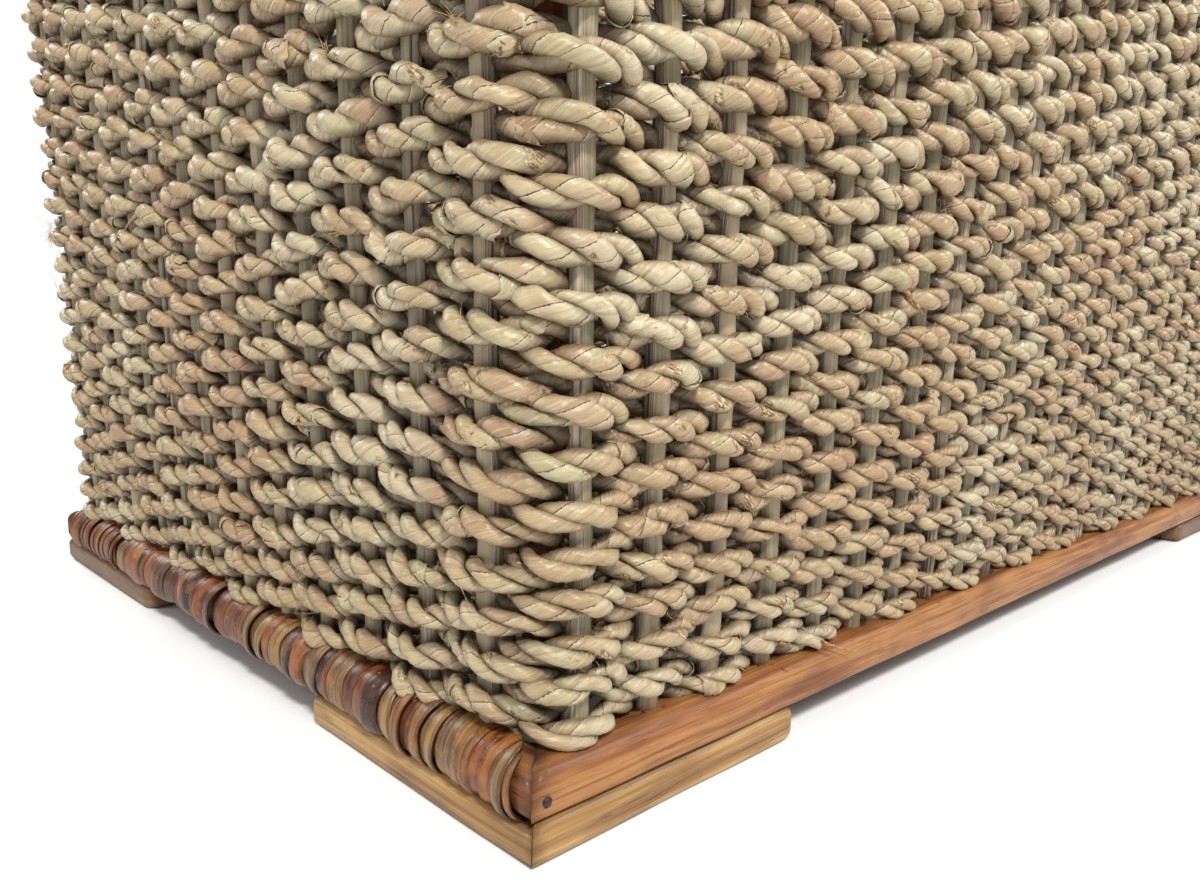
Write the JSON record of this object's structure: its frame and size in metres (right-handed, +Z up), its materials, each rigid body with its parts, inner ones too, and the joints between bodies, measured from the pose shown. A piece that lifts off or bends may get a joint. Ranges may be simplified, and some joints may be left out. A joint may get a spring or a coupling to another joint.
{
  "type": "laundry basket woven",
  "caption": "Open rectangular laundry basket: flared rope-woven wall between nailed rattan frames, on L-shaped corner feet, with a hand gap in each short side.",
  "frame": {"origin": "on the ground, at the middle of the footprint", "axes": "+Z up, X along the long sides, -Y is the front long side"},
  "size_m": [0.7778, 0.453, 0.4965],
  "materials": {
    "varnished_rattan": "varnished, honey-orange, streaked along the grain",
    "pale_rattan": "varnished, pale yellow-brown, scraped",
    "rattan_peel": "wound strips of peel, amber to dark brown, satin",
    "leaf_rope": "two-ply rope of rolled leaf, straw with pale green and pinkish tan",
    "splint": "split cane, greenish olive skin and striated cut faces",
    "nail_iron": "dark, dull iron"
  },
  "bodies": {
    "root": {"base_rail_back": "varnished_rattan", "base_rail_front": "varnished_rattan", "base_rail_left": "varnished_rattan", "base_rail_right": "varnished_rattan", "base_wrap_left": "rattan_peel", "base_wrap_right": "rattan_peel", "bottom_batten_1": "splint", "bottom_batten_2": "splint", "bottom_batten_3": "splint", "bottom_panel": "leaf_rope", "corner_post_back_left": "varnished_rattan", "corner_post_back_right": "varnished_rattan", "corner_post_front_left": "varnished_rattan", "corner_post_front_right": "varnished_rattan", "foot_back_left_long": "pale_rattan", "foot_back_left_short": "pale_rattan", "foot_back_right_long": "pale_rattan", "foot_back_right_short": "pale_rattan", "foot_front_left_long": "pale_rattan", "foot_front_left_short": "pale_rattan", "foot_front_right_long": "pale_rattan", "foot_front_right_short": "pale_rattan", "foot_nail_back_left": "nail_iron", "foot_nail_back_right": "nail_iron", "foot_nail_front_left": "nail_iron", "foot_nail_front_right": "nail_iron", "grip_sill_left": "splint", "grip_sill_right": "splint", "post_nail_base_back_left": "nail_iron", "post_nail_base_back_right": "nail_iron", "post_nail_base_front_left": "nail_iron", "post_nail_base_front_right": "nail_iron", "post_nail_rim_back_left": "nail_iron", "post_nail_rim_back_right": "nail_iron", "post_nail_rim_front_left": "nail_iron", "post_nail_rim_front_right": "nail_iron", "rail_nail_back_left": "nail_iron", "rail_nail_back_right": "nail_iron", "rail_nail_front_left": "nail_iron", "rail_nail_front_right": "nail_iron", "rim_nail_back_left": "nail_iron", "rim_nail_back_right": "nail_iron", "rim_nail_front_left": "nail_iron", "rim_nail_front_right": "nail_iron", "rim_rail_back": "varnished_rattan", "rim_rail_front": "varnished_rattan", "rim_rail_left": "varnished_rattan", "rim_rail_right": "varnished_rattan", "rim_wrap_left": "rattan_peel", "rim_wrap_right": "rattan_peel", "sole_nail_back_left_long": "nail_iron", "sole_nail_back_left_short": "nail_iron", "sole_nail_back_right_long": "nail_iron", "sole_nail_back_right_short": "nail_iron", "sole_nail_front_left_long": "nail_iron", "sole_nail_front_left_short": "nail_iron", "sole_nail_front_right_long": "nail_iron", "sole_nail_front_right_short": "nail_iron", "woven_wall": "leaf_rope"}
  },
  "joints": []
}
